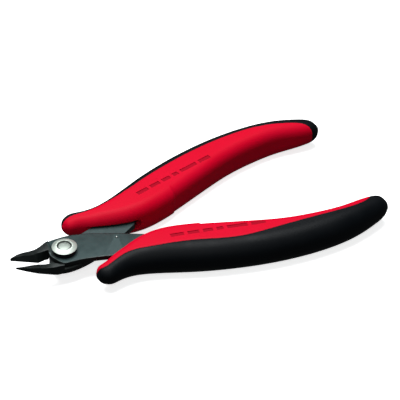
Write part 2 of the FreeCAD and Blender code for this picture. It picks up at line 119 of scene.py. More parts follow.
def smooth_curve(knots: np.ndarray, values: np.ndarray, places: np.ndarray) -> np.ndarray:
    """Read a natural cubic spline.

    Between two knots a span apart the value is the straight line between theirs, plus a cubic
    share of the second slopes, which solve one line of equations for each inner knot.

    Args:
        knots: rising parameter values, shape (n,).
        values: the spline's values at the knots, shape (n, m).
        places: parameters to read it at, shape (k,).

    Returns:
        The values there, shape (k, m).
    """
    span = np.diff(knots)
    count = len(knots)
    inner = np.arange(1, count - 1)
    system = np.zeros((count, count))
    system[0, 0] = system[-1, -1] = 1.0
    system[inner, inner - 1] = span[inner - 1]
    system[inner, inner] = 2 * (span[inner - 1] + span[inner])
    system[inner, inner + 1] = span[inner]
    slope = np.diff(values, axis=0) / span[:, None]
    right = np.zeros_like(values, dtype=float)
    right[1:-1] = 6 * np.diff(slope, axis=0)
    second = np.linalg.solve(system, right)
    cell = np.clip(np.searchsorted(knots, places, side="right") - 1, 0, count - 2)
    width = span[cell][:, None]
    ahead = (places - knots[cell])[:, None] / width
    behind = 1 - ahead
    line = behind * values[cell] + ahead * values[cell + 1]
    bend = (behind**3 - behind) * second[cell] + (ahead**3 - ahead) * second[cell + 1]
    return line + bend * width**2 / 6


def curve_through(points: tuple, count: int) -> np.ndarray:
    """Return places along a smooth curve through the points, even by chord length.

    Args:
        points: the points it passes through.
        count: how many places to give.

    Returns:
        The places, one row each.
    """
    fixed = np.array(points, float)
    knots = np.concatenate(([0.0], np.cumsum(np.linalg.norm(np.diff(fixed, axis=0), axis=1))))
    return smooth_curve(knots, fixed, np.linspace(0, knots[-1], count))


def eased(value: np.ndarray) -> np.ndarray:
    """Return 0 below 0, 1 above 1 and a smooth S between."""
    part = np.clip(value, 0.0, 1.0)
    return part * part * (3 - 2 * part)


def tube_faces(rows: int, columns: int) -> list:
    """Return the faces of a grid that closes on itself across its columns, with both ends capped.

    Args:
        rows: rings along the tube.
        columns: points round each ring.

    Returns:
        Faces as lists of vertex numbers.
    """
    row, column = np.meshgrid(np.arange(rows - 1), np.arange(columns), indexing="ij")
    beside = (column + 1) % columns
    sides = np.stack((row * columns + column, row * columns + beside,
                      (row + 1) * columns + beside, (row + 1) * columns + column), axis=-1)
    last = (rows - 1) * columns
    caps = [list(range(columns - 1, -1, -1)), list(range(last, last + columns))]
    return sides.reshape(-1, 4).tolist() + caps


def in_scene(name: str, data: bpy.types.ID) -> bpy.types.Object:
    """Make an object of this data and link it to the scene."""
    made = bpy.data.objects.new(name, data)
    bpy.context.scene.collection.objects.link(made)
    return made


def new_piece(name: str, points: np.ndarray, faces: list,
              sharp_degrees: float = SHARP_DEGREES) -> bpy.types.Object:
    """Make a mesh object with outward faces and smooth shading between its sharp edges.

    Args:
        name: the piece's name.
        points: places in metres.
        faces: faces as lists of vertex numbers.
        sharp_degrees: edges that turn by more than this stay crisp.

    Returns:
        The object, at the origin.
    """
    mesh = bpy.data.meshes.new(name)
    mesh.from_pydata(points, [], faces)
    piece = in_scene(name, mesh)
    tidy_mesh(mesh, sharp_degrees)
    return piece


def tidy_mesh(mesh: bpy.types.Mesh, sharp_degrees: float) -> None:
    """Point a mesh's faces outwards and mark its sharp edges.

    Args:
        mesh: the mesh to change.
        sharp_degrees: edges that turn by more than this stay crisp.
    """
    work = bmesh.new()
    work.from_mesh(mesh)
    bmesh.ops.recalc_face_normals(work, faces=work.faces)
    work.to_mesh(mesh)
    work.free()
    mesh.polygons.foreach_set("use_smooth", np.ones(len(mesh.polygons), bool))
    mesh.set_sharp_from_angle(angle=math.radians(sharp_degrees))
    mesh.update()


def cut_away(piece: bpy.types.Object, tools: list, sharp_degrees: float = SHARP_DEGREES) -> None:
    """Cut tool solids out of a piece for good, and delete the tools.

    Args:
        piece: the piece to cut.
        tools: closed mesh objects.
        sharp_degrees: edges that turn by more than this stay crisp.
    """
    for tool in tools:
        cut = piece.modifiers.new("cut", "BOOLEAN")
        cut.operation = "DIFFERENCE"
        cut.solver = "EXACT"
        cut.material_mode = "TRANSFER"
        cut.object = tool
    graph = bpy.context.evaluated_depsgraph_get()
    done = bpy.data.meshes.new_from_object(piece.evaluated_get(graph))
    piece.modifiers.clear()
    spent = piece.data
    name = spent.name
    piece.data = done
    bpy.data.meshes.remove(spent)
    done.name = name
    tidy_mesh(done, sharp_degrees)
    for tool in tools:
        bpy.data.objects.remove(tool)


def joined(pieces: list) -> bpy.types.Object:
    """Join several mesh objects into the first one.

    Args:
        pieces: the objects, the first of which is kept.

    Returns:
        The first object, with all their faces.
    """
    with bpy.context.temp_override(active_object=pieces[0], selected_editable_objects=pieces):
        bpy.ops.object.join()
    return pieces[0]


def dress(piece: bpy.types.Object, *finishes: "Finish") -> None:
    """Give a piece one material slot for each finish, in order."""
    for finish in finishes:
        piece.data.materials.append(material_of(finish))


def lathed(profile: tuple, segments: int, wave: float = 0.0, teeth: int = 0) -> tuple:
    """Turn a closed profile about the pivot's axis.

    A point at radius r and height z goes round a circle; where it is marked as knurled, its
    radius also rises and falls by the wave's depth, once for each tooth.

    Args:
        profile: (radius, height, knurled) corners of the closed outline, in millimetres.
        segments: points round each circle.
        wave: depth of the knurl in millimetres.
        teeth: number of teeth.

    Returns:
        Places in metres, and faces.
    """
    corners = np.array(profile, float)
    turn = np.linspace(0, 2 * math.pi, segments, endpoint=False)[:, None]
    radius = corners[:, 0] + corners[:, 2] * wave * np.cos(teeth * turn)
    height = np.broadcast_to(corners[:, 1], radius.shape)
    points = np.stack((radius * np.cos(turn), radius * np.sin(turn), height), axis=-1)
    around, along = np.meshgrid(np.arange(segments), np.arange(len(corners)), indexing="ij")
    after = (around + 1) % segments
    up = (along + 1) % len(corners)
    count = len(corners)
    faces = np.stack((around * count + along, after * count + along,
                      after * count + up, around * count + up), axis=-1).reshape(-1, 4)
    return points.reshape(-1, 3) * MM + np.array(PIVOT), faces.tolist()


# ---------------------------------------------------------------- finishes


def linear(hex_code: str) -> tuple:
    """Turn an sRGB hex colour into linear RGBA."""
    parts = [int(hex_code[i:i + 2], 16) / 255 for i in (1, 3, 5)]
    curve = (c / 12.92 if c <= 0.04045 else ((c + 0.055) / 1.055) ** 2.4 for c in parts)
    return (*curve, 1.0)


def add_node(tree: bpy.types.NodeTree, kind: str, settings: dict | None = None,
             links: dict | None = None) -> bpy.types.Node:
    """Add a node with its settings and links.

    Args:
        tree: the material's node tree.
        kind: the node's type name.
        settings: properties or input values by name.
        links: output sockets by the input that each one feeds.

    Returns:
        The node.
    """
    node = tree.nodes.new(kind)
    for name, value in (settings or {}).items():
        if isinstance(name, str) and hasattr(node, name):
            setattr(node, name, value)
        else:
            node.inputs[name].default_value = value
    for name, socket in (links or {}).items():
        tree.links.new(socket, node.inputs[name])
    return node


def per_metre(size_mm: float) -> float:
    """Return the texture scale at which one cell of a pattern measures this many millimetres."""
    return 1.0 / (size_mm * MM)


@dataclass(frozen=True)
class Finish(ABC):
    """A surface finish: its name, two tones that it varies between, and its range of roughness."""

    name: str
    dark: str
    light: str
    mottle_mm: float
    smooth: float
    rough: float

    def tree(self) -> tuple:
        """Start the material.

        Returns:
            The material, its node tree, its shader and the object coordinates.
        """
        material = bpy.data.materials.new(self.name)
        material.use_nodes = True
        tree = material.node_tree
        shader = tree.nodes["Principled BSDF"]
        place = add_node(tree, "ShaderNodeTexCoord").outputs["Object"]
        return material, tree, shader, place

    def vary(self, tree: bpy.types.NodeTree, shader: bpy.types.Node,
             place: bpy.types.NodeSocket) -> None:
        """Let colour and roughness drift softly over the surface, as one batch of it does.

        Args:
            tree: the material's node tree.
            shader: the shader to feed.
            place: object coordinates.
        """
        drift = add_node(tree, "ShaderNodeTexNoise",
                         {"Scale": per_metre(self.mottle_mm), "Detail": 3.0}, {"Vector": place})
        tone = add_node(tree, "ShaderNodeMix", {"data_type": "RGBA"}, {0: drift.outputs["Fac"]})
        tone.inputs[6].default_value = linear(self.dark)
        tone.inputs[7].default_value = linear(self.light)
        tree.links.new(tone.outputs[2], shader.inputs["Base Color"])
        gloss = add_node(tree, "ShaderNodeMapRange",
                         {"From Min": 0.3, "From Max": 0.7, "To Min": self.smooth,
                          "To Max": self.rough},
                         {"Value": drift.outputs["Fac"]})
        tree.links.new(gloss.outputs["Result"], shader.inputs["Roughness"])

    @abstractmethod
    def build(self) -> bpy.types.Material:
        """Make the material.

        Returns:
            The material.
        """


@dataclass(frozen=True)
class MouldedPolypropylene(Finish):
    """Polypropylene from a spark-eroded mould: an even red with a fine satin grain.

    The real grain is about 0.05 mm, too fine to show, so it is drawn at the grain size.
    """

    grain_mm: float = 0.35
    grain_deep_mm: float = 0.012

    def build(self) -> bpy.types.Material:
        """Make the material.

        Returns:
            The material.
        """
        material, tree, shader, place = self.tree()
        self.vary(tree, shader, place)
        grain = add_node(tree, "ShaderNodeTexNoise",
                         {"Scale": per_metre(self.grain_mm), "Detail": 2.0}, {"Vector": place})
        bump = add_node(tree, "ShaderNodeBump",
                        {"Strength": 0.5, "Distance": self.grain_deep_mm * MM},
                        {"Height": grain.outputs["Fac"]})
        tree.links.new(bump.outputs["Normal"], shader.inputs["Normal"])
        shader.inputs["IOR"].default_value = 1.49
        shader.inputs["Specular IOR Level"].default_value = 0.08
        return material


@dataclass(frozen=True)
class OvermouldedRubber(Finish):
    """Thermoplastic rubber moulded over the core: a soft black with a broad, low sheen.

    Its leathery grain is about 0.1 mm on the real grip and is drawn at the grain size.
    """

    grain_mm: float = 0.45
    grain_deep_mm: float = 0.03

    def build(self) -> bpy.types.Material:
        """Make the material.

        Returns:
            The material.
        """
        material, tree, shader, place = self.tree()
        self.vary(tree, shader, place)
        grain = add_node(tree, "ShaderNodeTexVoronoi", {"Scale": per_metre(self.grain_mm)},
                         {"Vector": place})
        bump = add_node(tree, "ShaderNodeBump",
                        {"Strength": 0.35, "Distance": self.grain_deep_mm * MM},
                        {"Height": grain.outputs["Distance"]})
        tree.links.new(bump.outputs["Normal"], shader.inputs["Normal"])
        shader.inputs["IOR"].default_value = 1.5
        shader.inputs["Specular IOR Level"].default_value = 0.14
        return material


@dataclass(frozen=True)
class PhosphatedSteel(Finish):
    """Ground tool steel under a grey-green phosphate film: a dark satin with faint grinding lines.

    The lines run along the tool. They are about 0.05 mm apart on the real plate and are drawn at
    the line size.
    """

    metallic: float = 0.35
    near_jaw: str = ""              # painted shade: a darker tone that the surface takes on towards the jaws, if any
    shade_fade_mm: tuple = (2.4, 5.4)  # how far ahead of the pivot the painted shade starts and is full
    line_mm: float = 0.22
    line_long: float = 40.0
    line_deep_mm: float = 0.004

    def build(self) -> bpy.types.Material:
        """Make the material.

        Returns:
            The material.
        """
        material, tree, shader, place = self.tree()
        self.vary(tree, shader, place)
        drawn = add_node(tree, "ShaderNodeMapping", {"Scale": (1 / self.line_long, 1.0, 1.0)},
                         {"Vector": place})
        lines = add_node(tree, "ShaderNodeTexNoise",
                         {"Scale": per_metre(self.line_mm), "Detail": 2.0},
                         {"Vector": drawn.outputs["Vector"]})
        bump = add_node(tree, "ShaderNodeBump",
                        {"Strength": 0.6, "Distance": self.line_deep_mm * MM},
                        {"Height": lines.outputs["Fac"]})
        tree.links.new(bump.outputs["Normal"], shader.inputs["Normal"])
        shader.inputs["Metallic"].default_value = self.metallic
        if self.near_jaw:
            self.paint_shade(tree, shader, place)
        return material

    def paint_shade(self, tree: bpy.types.NodeTree, shader: bpy.types.Node,
               place: bpy.types.NodeSocket) -> None:
        """Blend the base colour into a darker tone towards the jaws: painted shade.

        Args:
            tree: the material's node tree.
            shader: the shader to feed.
            place: object coordinates.
        """
        axes = add_node(tree, "ShaderNodeSeparateXYZ", None, {"Vector": place})
        start, full = (PIVOT.x - far * MM for far in self.shade_fade_mm)
        share = add_node(tree, "ShaderNodeMapRange",
                         {"interpolation_type": "SMOOTHSTEP", "From Min": start, "From Max": full},
                         {"Value": axes.outputs["X"]})
        plain = shader.inputs["Base Color"].links[0].from_socket
        tone = add_node(tree, "ShaderNodeMix", {"data_type": "RGBA"},
                        {0: share.outputs["Result"], 6: plain})
        tone.inputs[7].default_value = linear(self.near_jaw)
        tree.links.new(tone.outputs[2], shader.inputs["Base Color"])


@dataclass(frozen=True)
class TurnedSteel(Finish):
    """Steel turned on a lathe: fine rings round the pivot's axis break up its reflections.

    Real feed marks are about 0.1 mm apart. These are drawn 2 pi times the ring size apart, about
    2 mm, so they read as a soft banding and not as single marks.
    """

    metallic: float = 1.0
    ring_mm: float = 0.3
    ring_deep_mm: float = 0.006

    def build(self) -> bpy.types.Material:
        """Make the material.

        Returns:
            The material.
        """
        material, tree, shader, place = self.tree()
        self.vary(tree, shader, place)
        centred = add_node(tree, "ShaderNodeMapping", {"Location": (-PIVOT.x, -PIVOT.y, 0.0)},
                           {"Vector": place})
        rings = add_node(tree, "ShaderNodeTexWave",
                         {"wave_type": "RINGS", "rings_direction": "Z", "Distortion": 1.5,
                          "Scale": per_metre(self.ring_mm) / WAVE_RADIANS, "Detail": 2.0},
                         {"Vector": centred.outputs["Vector"]})
        bump = add_node(tree, "ShaderNodeBump",
                        {"Strength": 0.5, "Distance": self.ring_deep_mm * MM},
                        {"Height": rings.outputs["Fac"]})
        tree.links.new(bump.outputs["Normal"], shader.inputs["Normal"])
        shader.inputs["Metallic"].default_value = self.metallic
        return material


@dataclass(frozen=True)
class PaperSweep(Finish):
    """A sheet of white paper lit from below, so that shadows on it stay faint."""

    glow: float = 0.8

    def build(self) -> bpy.types.Material:
        """Make the material.

        Returns:
            The material.
        """
        material, tree, shader, place = self.tree()
        self.vary(tree, shader, place)
        colour = shader.inputs["Base Color"].links[0].from_socket
        tree.links.new(colour, shader.inputs["Emission Color"])
        shader.inputs["Emission Strength"].default_value = self.glow
        return material


RED_CORE = MouldedPolypropylene("moulded_polypropylene_red", "#C80022", "#CE002A", 14.0, 0.46, 0.58)
# The same red on the walls and floors of the sunken dashes, where less light falls.
RED_RECESS = MouldedPolypropylene("shaded_red_recess", "#98001A", "#A60020", 14.0, 0.6, 0.7)
BLACK_GRIP = OvermouldedRubber("overmoulded_rubber_black", "#03060A", "#060A0E", 9.0, 0.45, 0.6)
# The plate's faces are painted darker towards the jaws, as shade.
PLATE_STEEL = PhosphatedSteel("phosphated_steel_plate", "#2B3D3D", "#354848", 2.2, 0.42, 0.54,
                              near_jaw="#1C2422")
# The lower plate lies in the upper one's shade, so its painted shade is full well behind the pivot.
LOWER_STEEL = replace(PLATE_STEEL, name="phosphated_steel_lower_plate", near_jaw="#121918",
                      shade_fade_mm=(-11.5, -8.5))
# Dark steel on the jaws and on the plates' sides and chamfers: painted shade where these faces turn
# from the light.
SHADED_JAW_STEEL = PhosphatedSteel("painted_shade_jaw_steel", "#0E1413", "#1A2221", 1.6, 0.34, 0.46, metallic=0.5)
# Pale steel on the upper plate's outer top edge: a painted highlight.
HIGHLIGHT_EDGE_STEEL = PhosphatedSteel("painted_highlight_edge_steel", "#5C6A6A", "#7B8887", 1.2, 0.32, 0.44, metallic=0.6)
CAP_NICKEL = TurnedSteel("turned_nickel_plated_steel", "#C8D2C9", "#DDE4DC", 1.5, 0.55, 0.66)
PIN_NICKEL = TurnedSteel("riveted_pin_end", "#7C857E", "#BAC2BA", 0.7, 0.45, 0.62, ring_mm=0.2)
COLLAR_BLACK = TurnedSteel("black_oxide_collar", "#08090A", "#121416", 1.5, 0.4, 0.55, metallic=0.4)
SPRING_WIRE = PhosphatedSteel("drawn_spring_steel", "#9AA09E", "#BCC1BE", 1.0, 0.25, 0.38,
                              metallic=1.0)
PAPER = PaperSweep("backlit_white_paper", "#F4F5F5", "#FAFAFA", 120.0, 0.8, 0.9)


# ---------------------------------------------------------------- handles


@dataclass
class Handle:
    """One handle: a hard red core and a soft black grip that share one smooth outer surface.

    Both pieces follow the same surface. Each sinks under the other beyond the line where they
    meet, so that the line between them is a fine moulded groove.
    """

    lever: Lever
    front: float = 7.6
    length: float = 113.3
    height: float = 13.06
    outer_round: tuple = (6.2, 0.93, 0.56)  # radius, and its most as shares of height and width
    inner_round: tuple = (4.2, 0.90, 0.40)
    crown: float = 0.035            # how far the top bulges, as a share of its half height
    rows: int = 420
    flat_points: int = 20
    arc_points: int = 18
    end_rows: int = 7
    end_bulge: float = 0.22
    end_least: float = 0.02         # size of the smallest end ring, as a share of the last section
    step_at: float = 49.4           # the inner wall steps back here, where the palm part begins
    step_deep: float = 0.55
    step_long: float = 0.7
    step_fade: float = 14.0
    sink: float = 0.5               # how far a piece dips under the other one
    slope: float = 0.7              # how steeply it dips
    overlap: float = 0.16           # half the width of the groove
    full_dip_height: float = 2.5    # where the handle is thinner than this each way, it dips less
    line_points: int = 260
    sharp: float = 50.0
    slot_start: float = 9.0
    slot_end: float = 33.5
    slot_floor: float = 8.6
    slot_margin: float = 0.9        # room above and below the steel arm
    slot_points: int = 24
    grip_slot_extra: float = 0.4    # how much larger the slot is all round in the grip
    dash_row: tuple = ((36.8, 9.3), (71.6, 13.6))   # from and to, on the top
    dash_lengths: tuple = (3.0, 2.6, 2.2, 1.5, 4.6, 3.2)
    dash_gap: float = 1.4
    dash_wide: float = 1.7
    dash_deep: float = 0.22
    sections: tuple = (             # share of the length, inner y, outer y, share of half height
        (0.000, 12.9, 15.3, 0.18), (0.012, 11.1, 17.1, 0.45), (0.033, 10.2, 18.0, 0.58),
        (0.063, 8.2, 17.2, 0.67), (0.103, 5.9, 15.9, 0.78), (0.164, 3.0, 16.1, 0.91),
        (0.2335, 1.5, 18.0, 0.985), (0.3215, 2.3, 20.95, 1.0), (0.4265, 5.2, 23.6, 1.0),
        (0.531, 8.4, 25.3, 1.0), (0.636, 11.1, 25.92, 1.0), (0.741, 12.2, 25.3, 1.0),
        (0.846, 11.6, 23.1, 0.955), (0.899, 10.1, 21.1, 0.87), (0.945, 9.0, 18.8, 0.76),
        (0.982, 9.2, 16.5, 0.56), (0.998, 10.7, 14.6, 0.27))
    far_line: tuple = (
        (5.0, 14.4), (9.0, 14.8), (12.0, 14.6), (15.5, 13.6), (21.0, 12.9), (30.0, 13.2),
        (45.0, 16.4), (67.0, 20.1), (88.0, 20.5), (101.0, 18.2), (109.0, 15.3), (114.0, 12.6),
        (116.3, 9.5), (116.8, 6.0))
    near_line: tuple = (
        (5.0, 13.7), (8.2, 13.9), (10.7, 14.2), (13.2, 13.4), (16.2, 12.1), (20.4, 11.0),
        (27.8, 11.7), (45.0, 14.5), (59.0, 17.8),
        (75.0, 17.6), (94.6, 16.6), (108.0, 14.8), (113.0, 12.2), (116.0, 6.0))

    def rings(self) -> tuple:
        """Return the handle's place and size along its length, with rings that close its ends.

        Place, inner face, outer face and half height are each a smooth curve through the section
        table. At each end the last section shrinks over a few rings, as the sine of a quarter
        turn, while it moves out by the cosine's share of the end's bulge.

        Returns:
            x, inner y, outer y and half height, each of shape (rings, 1).
        """
        table = np.array(self.sections)
        stations = np.column_stack((self.front + table[:, 0] * self.length, table[:, 1],
                                    table[:, 2], table[:, 3] * self.height / 2))
        steps = np.linalg.norm(np.diff(stations, axis=0), axis=1)
        knots = np.concatenate(([0.0], np.cumsum(steps)))
        body = smooth_curve(knots, stations, np.linspace(0, knots[-1], self.rows))
        turn = np.linspace(0, math.pi / 2, self.end_rows + 1)[:-1, None]
        shrink = np.maximum(np.sin(turn), self.end_least)
        ends = []
        for ring, way in ((body[0], -1), (body[-1], 1)):
            middle = (ring[1] + ring[2]) / 2
            half = (ring[2] - ring[1]) / 2
            ends.append(np.hstack((ring[0] + way * self.end_bulge * np.cos(turn),
                                   middle - half * shrink, middle + half * shrink,
                                   ring[3] * shrink)))
        rings = np.vstack((ends[0], body, ends[1][::-1]))
        step = eased((rings[:, 0] - self.step_at) / self.step_long + 0.5) - 0.5
        fade = np.exp(-np.abs(rings[:, 0] - self.step_at) / self.step_fade)
        rings[:, 1] += self.step_deep * step * fade
        return tuple(rings[:, [i]] for i in range(4))

    def surface(self) -> np.ndarray:
        """Return the whole handle's outer surface as a grid.

        Each ring is a rectangle with rounded corners, larger on the outer side than on the inner
        one, and with a slightly crowned top and underside.

        Returns:
            Places in millimetres, shape (rings, points, 3).
        """
        x, inner, outer, half = self.rings()
        wide = outer - inner
        tall = half / (1 + self.crown)
        big, small = (np.minimum(np.minimum(of_tall * tall, radius), of_wide * wide)
                      for radius, of_tall, of_wide in (self.outer_round, self.inner_round))
        flat = np.linspace(0, 1, self.flat_points, endpoint=False)[None, :]
        quarter = np.linspace(0, 1, self.arc_points, endpoint=False)[None, :]

        def run(y0: np.ndarray, z0: np.ndarray, y1: np.ndarray, z1: np.ndarray) -> tuple:
            """Return a straight stretch of the ring."""
            return y0 + (y1 - y0) * flat, z0 + (z1 - z0) * flat

        def corner(y: np.ndarray, z: np.ndarray, radius: np.ndarray, first: int) -> tuple:
            """Return a quarter arc of the ring."""
            angle = (first + quarter) * math.pi / 2
            return y + radius * np.cos(angle), z + radius * np.sin(angle)

        parts = (run(inner + small, -tall, outer - big, -tall),
                 corner(outer - big, big - tall, big, 3),
                 run(outer, big - tall, outer, tall - big),
                 corner(outer - big, tall - big, big, 0),
                 run(outer - big, tall, inner + small, tall),
                 corner(inner + small, tall - small, small, 1),
                 run(inner, tall - small, inner, small - tall),
                 corner(inner + small, small - tall, small, 2))
        y = np.concatenate([part[0] for part in parts], axis=1)
        z = np.concatenate([part[1] for part in parts], axis=1)
        across = (y - (inner + outer) / 2) / (wide / 2)
        z = z * (1 + self.crown * np.clip(1 - across**2, 0, 1))
        return np.stack((np.broadcast_to(x, y.shape), y, z), axis=-1)

    def normals(self, grid: np.ndarray) -> np.ndarray:
        """Return outward unit normals of the grid: the cross product of its two directions.

        Args:
            grid: places in millimetres, shape (rings, points, 3).

        Returns:
            The normals, of the same shape.
        """
        along = np.gradient(grid, axis=0)
        around = np.roll(grid, -1, axis=1) - np.roll(grid, 1, axis=1)
        normal = np.cross(around, along)
        normal /= np.maximum(np.linalg.norm(normal, axis=-1, keepdims=True), TINY)
        outward = grid[..., 1:] - grid[..., 1:].mean(axis=1, keepdims=True)
        if np.sum(normal[..., 1:] * outward) < 0:
            normal = -normal
        return normal

    def beyond_line(self, grid: np.ndarray) -> np.ndarray:
        """Return how far each place lies on the grip's side of the line, negative on the core's.

        The line is cut into short straight runs. The distance is to the nearest run, and its sign
        is the side of that run.

        Args:
            grid: places in millimetres.

        Returns:
            Signed distances in millimetres.
        """
        points = self.far_line if self.lever is Lever.FAR else self.near_line
        line = curve_through(points, self.line_points).astype(np.float32)
        start, run = line[:-1], np.diff(line, axis=0)
        flat = grid[..., :2].reshape(-1, 1, 2).astype(np.float32)
        reach = flat - start
        share = np.clip((reach * run).sum(-1) / (run**2).sum(-1), 0, 1)
        gap = reach - share[..., None] * run
        distance = np.sqrt((gap**2).sum(-1))
        nearest = distance.argmin(1)
        every = np.arange(len(flat))
        side = (run[nearest, 0] * reach[every, nearest, 1]
                - run[nearest, 1] * reach[every, nearest, 0])
        return (distance[every, nearest] * np.sign(side)).reshape(grid.shape[:2])

    def slot_cutter(self, extra: float) -> bpy.types.Object:
        """Make the solid that cuts the slot for the steel arm: a prism with a round rear end.

        Args:
            extra: how much larger than the slot it is all round.

        Returns:
            The closed solid.
        """
        plate = Plate.LOWER if self.lever is Lever.FAR else Plate.UPPER
        middle = plate.floor + Blade.thick / 2
        half = Blade.thick / 2 + self.slot_margin + extra
        angle = np.linspace(-math.pi / 2, math.pi / 2, self.slot_points)
        rear = self.slot_end + extra - half
        round_end = np.column_stack((rear + half * np.cos(angle), middle + half * np.sin(angle)))
        outline = np.vstack(([[self.slot_start, middle + half], [self.slot_start, middle - half]],
                             round_end))
        rings = [np.column_stack((outline[:, 0], np.full(len(outline), y), outline[:, 1]))
                 for y in (-self.slot_floor, self.slot_floor + extra)]
        points = self.lever.placed(np.vstack(rings))
        return new_piece("slot_cutter", points, tube_faces(2, len(outline)))

    def dash_cutters(self) -> bpy.types.Object:
        """Make the blocks that sink a row of plain dashes into the core's top.

        Each dash is a block whose long side follows the row, and whose underside lies a set depth
        below the handle's top.

        Returns:
            All the blocks as one mesh.
        """
        first, last = (np.array(end) for end in self.dash_row)
        along = (last - first) / np.linalg.norm(last - first)
        across = np.array((-along[1], along[0]))
        gaps = self.dash_gap * (len(self.dash_lengths) - 1)
        scale = (np.linalg.norm(last - first) - gaps) / sum(self.dash_lengths)
        starts = np.cumsum([0.0] + [length * scale + self.dash_gap
                                    for length in self.dash_lengths[:-1]])
        places, faces = [], []
        for start, length in zip(starts, self.dash_lengths):
            corners = [first + along * (start + a) + across * b * self.dash_wide / 2
                       for a, b in ((0, -1), (length * scale, -1), (length * scale, 1), (0, 1))]
            shift = len(places)
            for level in (self.height / 2 - self.dash_deep, self.height):
                places += [(*corner, level) for corner in corners]
            faces += [[shift + number for number in face] for face in tube_faces(2, 4)]
        block = new_piece("dash_cutter", self.lever.placed(np.array(places)), faces)
        dress(block, RED_RECESS)
        return block

    def build(self) -> list:
        """Build the core and the grip.

        Returns:
            The two pieces.
        """
        grid = self.surface()
        normal = self.normals(grid)
        beyond = self.beyond_line(grid)
        thin = np.abs(grid[..., 2]).max(axis=1, keepdims=True) / self.full_dip_height
        deep = self.sink * np.clip(thin, 0, 1)
        core_dip = -np.clip((beyond + self.overlap) * self.slope, 0, deep)
        grip_dip = -np.clip((self.overlap - beyond) * self.slope, 0, deep)
        made = []
        for part, dip, finish, slot, extra in (
                ("core", core_dip, RED_CORE, "handle_red", 0.0),
                ("grip", grip_dip, BLACK_GRIP, "grip_black", self.grip_slot_extra)):
            points = (grid + normal * dip[..., None]).reshape(-1, 3)
            piece = new_piece(f"{self.lever.word}_{part}_shell", self.lever.placed(points),
                              tube_faces(*grid.shape[:2]), sharp_degrees=self.sharp)
            dress(piece, finish)
            if part == "core":
                dress(piece, RED_RECESS)
                cut_away(piece, [self.dash_cutters()], sharp_degrees=self.sharp)
            cut_away(piece, [self.slot_cutter(extra)], sharp_degrees=self.sharp)
            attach(piece, self.lever.body)
            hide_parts(f"{self.lever.word}_handle_{part}")
            made.append(piece)
        return made


# ---------------------------------------------------------------- blades


@dataclass(frozen=True)
class Head:
    """What differs between the two heads: outline, width of the jaw's root, and recess."""

    jaw_side: tuple
    shoulder: tuple
    swell: float                    # how much wider the jaw's root is than the table says
    recess: float                   # radius of the recess that it leaves for the other plate


HEADS = {
    Plate.LOWER: Head(
        jaw_side=((-5.2, -6.0), (-4.2, -6.5), (-1.2, -7.25), (1.8, -7.4), (5.0, -7.2), (9.6, -6.35),
                  (16.0, -4.35), (23.6, -1.7), (30.0, 1.0)),
        shoulder=((-2.3, 6.2), (-3.5, 4.6), (-4.8, 3.1), (-5.6, 1.4), (-6.35, 0.2), (-6.5, -2.0)),
        swell=0.0, recess=7.0),
    Plate.UPPER: Head(
        jaw_side=((-5.2, -6.6), (-4.3, -7.0), (-1.2, -7.65), (1.8, -7.9), (5.0, -7.8), (8.1, -7.25),
                  (13.3, -5.75), (18.4, -4.0), (23.45, -2.0), (30.0, 0.8)),
        shoulder=((-2.3, 6.2), (-3.5, 4.65), (-4.5, 2.75), (-5.4, 0.8), (-5.5, -1.2)),
        swell=0.5, recess=5.95),
}


class Skin(IntEnum):
    """A blade's material slots."""

    FACE = 0
    # the pale steel: a painted highlight
    EDGE = 1
    # the dark steel: painted shade
    JAW = 2


